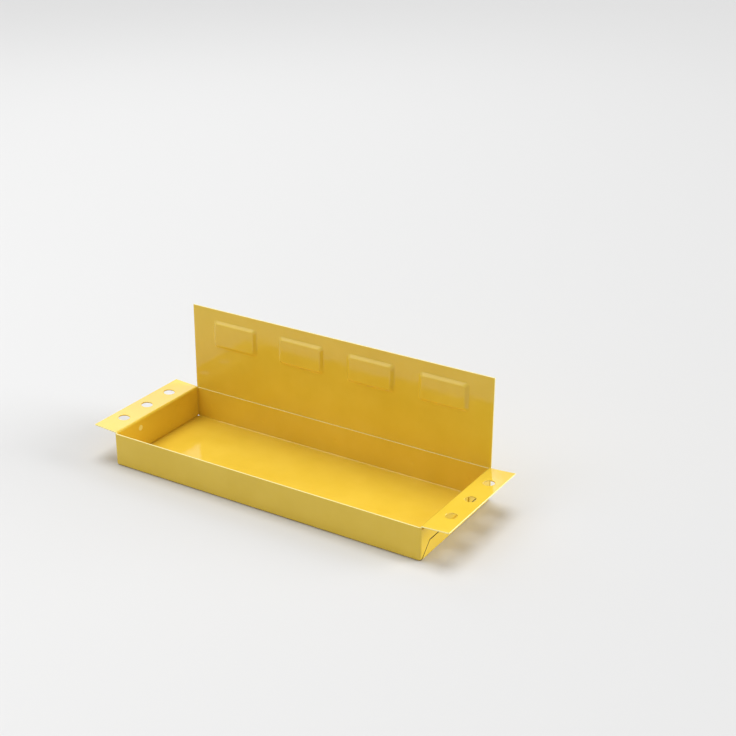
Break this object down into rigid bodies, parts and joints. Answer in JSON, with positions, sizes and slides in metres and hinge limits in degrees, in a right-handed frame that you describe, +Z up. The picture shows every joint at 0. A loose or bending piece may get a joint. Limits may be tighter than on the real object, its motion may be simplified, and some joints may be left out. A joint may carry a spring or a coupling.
{
  "type": "magnetic tool tray",
  "caption": "Shallow folded-steel tool tray with a drilled flange at each end, welded to an upright back plate whose magnets hold it to a steel cabinet.",
  "frame": {"origin": "middle of the tray's underside, taken over the bounding box of the whole tray", "axes": "+X along the tray to the right as seen from its open front, +Y towards the surface that the magnets hold to, +Z up"},
  "size_m": [0.34, 0.1152, 0.108],
  "materials": {
    "powder_coat": "gloss yellow powder coat on sheet steel",
    "ferrite": "dull dark grey sintered ferrite",
    "foam_tape": "off-white adhesive foam",
    "vinyl_film": "black satin vinyl film"
  },
  "bodies": {
    "root": {"pan": "powder_coat", "back_plate": "powder_coat", "left_end": "powder_coat", "right_end": "powder_coat", "magnet_1": "ferrite", "magnet_2": "ferrite", "magnet_3": "ferrite", "magnet_4": "ferrite", "adhesive_pad_1": "foam_tape", "adhesive_pad_2": "foam_tape", "adhesive_pad_3": "foam_tape", "adhesive_pad_4": "foam_tape", "cover_film_1": "vinyl_film", "cover_film_2": "vinyl_film", "cover_film_3": "vinyl_film", "cover_film_4": "vinyl_film"}
  },
  "joints": []
}
